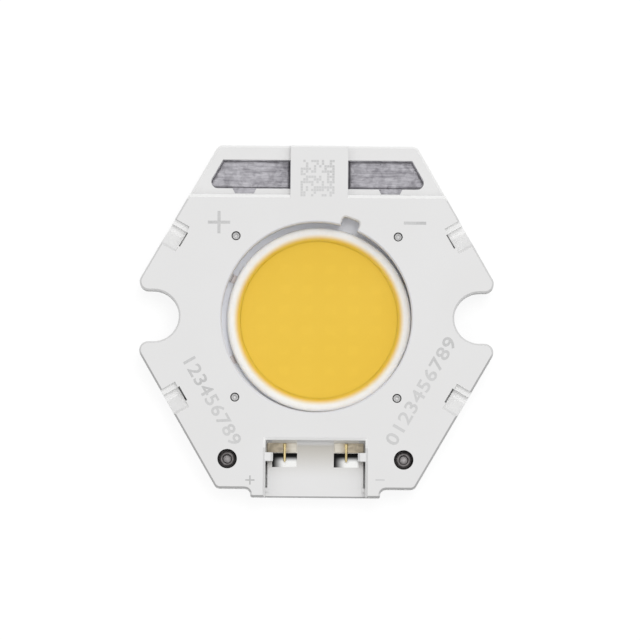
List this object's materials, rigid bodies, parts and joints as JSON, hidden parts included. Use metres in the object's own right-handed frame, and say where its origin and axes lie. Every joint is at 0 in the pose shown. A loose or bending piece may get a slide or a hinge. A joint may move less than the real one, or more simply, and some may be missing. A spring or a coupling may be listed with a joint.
{
  "type": "cob led",
  "caption": "Flat hexagonal chip-on-board LED module with a yellow round emitter in a white housing, a plug port, solder pads and two screw notches.",
  "frame": {"origin": "centre of the hexagonal outline, on the underside of the base plate", "axes": "+Z out of the light-emitting face, +Y to the solder pads, -Y to the plug port, +X to the right-hand screw notch"},
  "size_m": [0.0208, 0.0207, 0.0032],
  "materials": {
    "aluminium": "satin",
    "adhesive": "matte",
    "film": "satin",
    "gold": "polished",
    "die": "gloss",
    "dam": "gloss",
    "phosphor": "satin",
    "tin": "satin",
    "housing_plastic": "matte",
    "eyelet_metal": "satin",
    "solder": "satin"
  },
  "bodies": {
    "root": {"base_plate": "aluminium", "adhesive_strip": "adhesive", "dielectric_film": "film", "trace_positive": "gold", "trace_negative": "gold", "led_dies": "die", "bond_wires": "gold", "dam_ring": "dam", "phosphor_fill": "phosphor", "lead_frame_positive": "tin", "lead_frame_negative": "tin", "housing": "housing_plastic", "port_contact_positive": "gold", "port_contact_negative": "gold", "eyelet_left": "eyelet_metal", "eyelet_right": "eyelet_metal", "solder_joint_1": "solder", "solder_joint_2": "solder", "solder_joint_3": "solder", "solder_joint_4": "solder"}
  },
  "joints": []
}
